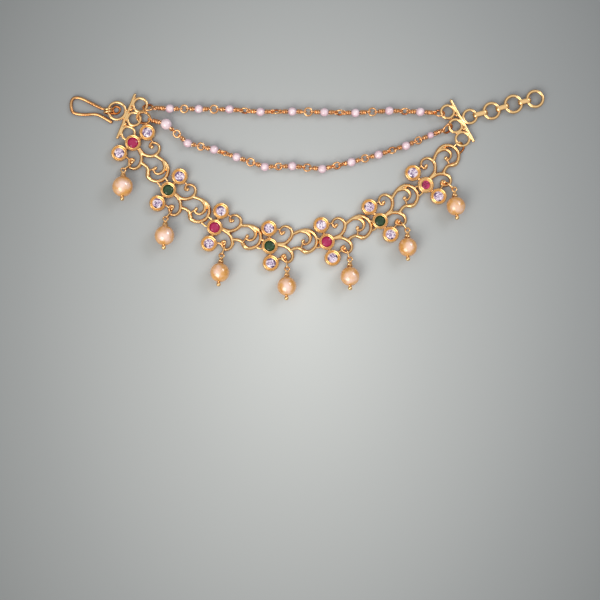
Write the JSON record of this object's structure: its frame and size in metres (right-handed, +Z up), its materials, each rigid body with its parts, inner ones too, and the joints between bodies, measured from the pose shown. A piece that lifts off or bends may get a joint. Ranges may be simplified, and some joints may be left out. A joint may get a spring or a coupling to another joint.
{
  "type": "side head ornament",
  "caption": "Hair chain that runs from the ear to the hair: stone-set scroll panels in a row with pearl drops, two pearl chains, a hook and an extender.",
  "frame": {"origin": "middle of the ornament's bounding box, at the flat surface that it lies on", "axes": "+X along the row from the hook to the extender, +Y from the pearl drops up to the pearl chains, +Z up from the surface, out of the front of the stones"},
  "size_m": [0.1332, 0.0592, 0.0059],
  "materials": {
    "gold": "gold-plated cast metal and wire, polished",
    "chain_wire": "thin reddish gold-plated wire, polished",
    "chain_pearl": "small pinkish white pearls",
    "drop_pearl": "golden peach pearl with a soft lustre",
    "red_stone": "faceted, magenta red",
    "green_stone": "faceted, dark green",
    "white_stone": "colourless brilliant with a lilac cast"
  },
  "bodies": {
    "root": {"scroll_panel_1": "gold", "centre_stone_1": "red_stone", "white_stone_1_upper": "white_stone", "white_stone_1_lower": "white_stone", "drop_ring_1": "gold", "drop_pin_1": "gold", "drop_pearl_1": "drop_pearl", "scroll_panel_2": "gold", "centre_stone_2": "green_stone", "white_stone_2_upper": "white_stone", "white_stone_2_lower": "white_stone", "drop_ring_2": "gold", "drop_pin_2": "gold", "drop_pearl_2": "drop_pearl", "scroll_panel_3": "gold", "centre_stone_3": "red_stone", "white_stone_3_upper": "white_stone", "white_stone_3_lower": "white_stone", "drop_ring_3": "gold", "drop_pin_3": "gold", "drop_pearl_3": "drop_pearl", "scroll_panel_4": "gold", "centre_stone_4": "green_stone", "white_stone_4_upper": "white_stone", "white_stone_4_lower": "white_stone", "drop_ring_4": "gold", "drop_pin_4": "gold", "drop_pearl_4": "drop_pearl", "scroll_panel_5": "gold", "centre_stone_5": "red_stone", "white_stone_5_upper": "white_stone", "white_stone_5_lower": "white_stone", "drop_ring_5": "gold", "drop_pin_5": "gold", "drop_pearl_5": "drop_pearl", "scroll_panel_6": "gold", "centre_stone_6": "green_stone", "white_stone_6_upper": "white_stone", "white_stone_6_lower": "white_stone", "drop_ring_6": "gold", "drop_pin_6": "gold", "drop_pearl_6": "drop_pearl", "scroll_panel_7": "gold", "centre_stone_7": "red_stone", "white_stone_7_upper": "white_stone", "white_stone_7_lower": "white_stone", "drop_ring_7": "gold", "drop_pin_7": "gold", "drop_pearl_7": "drop_pearl", "left_end_bar": "gold", "right_end_bar": "gold", "upper_pearl_chain": "chain_wire", "lower_pearl_chain": "chain_pearl", "hook": "gold", "extender_ring_1": "gold", "extender_link_1": "gold", "extender_ring_2": "gold", "extender_link_2": "gold", "extender_ring_3": "gold", "extender_link_3": "gold"}
  },
  "joints": []
}
